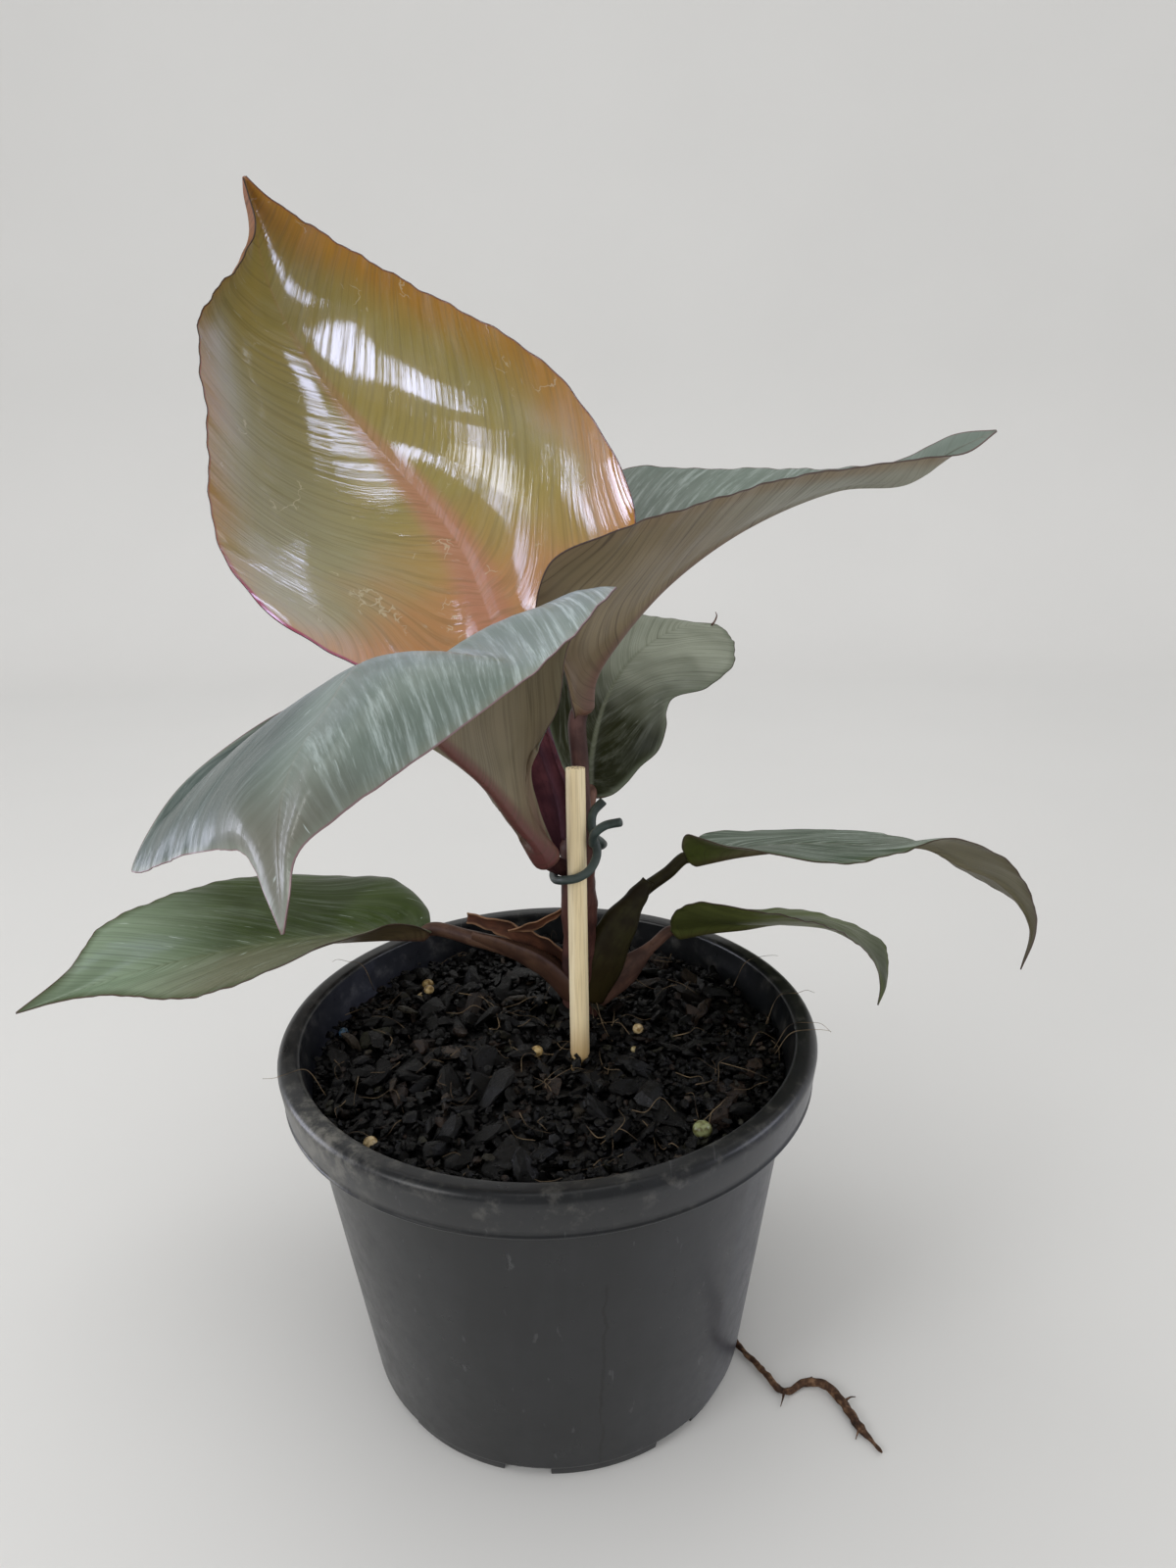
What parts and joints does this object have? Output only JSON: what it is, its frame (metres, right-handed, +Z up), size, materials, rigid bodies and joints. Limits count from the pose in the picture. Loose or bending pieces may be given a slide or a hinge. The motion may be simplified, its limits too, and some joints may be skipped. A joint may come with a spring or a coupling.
{
  "type": "potted red heart philodendron",
  "caption": "Young red heart philodendron with a copper new leaf, staked and tied in a squat charcoal nursery pot of bark mix.",
  "frame": {"origin": "centre of the pot's base, on the surface that it stands on", "axes": "+Z up along the pot's axis, -Y towards the front, where the front leaf hangs, +X to the right of the front"},
  "size_m": [0.2772, 0.1789, 0.3029],
  "materials": {
    "pot_plastic": "moulded charcoal plastic with a soft sheen",
    "bark_mix": "moist composted bark chips",
    "bamboo": "split bamboo, bare",
    "tie_plastic": "soft dull plastic",
    "stem_skin": "purple brown plant skin",
    "leaf_copper": "glossy young leaf, copper and olive",
    "leaf_green": "waxy leaf, grey green above and brown olive below",
    "dry_sheath": "dry sheath, orange brown",
    "root_skin": "dry brown root"
  },
  "bodies": {
    "root": {"pot": "pot_plastic", "soil": "bark_mix", "stem": "stem_skin", "stake": "bamboo", "tie": "tie_plastic", "leaf_upright": "leaf_copper", "leaf_right": "leaf_green", "leaf_front": "leaf_green", "leaf_back": "leaf_green", "leaf_low_left": "leaf_green", "leaf_mid_right": "leaf_green", "leaf_low_right": "leaf_green", "sheath_dry": "dry_sheath", "strip_dry": "dry_sheath", "root_escaped": "root_skin"}
  },
  "joints": []
}
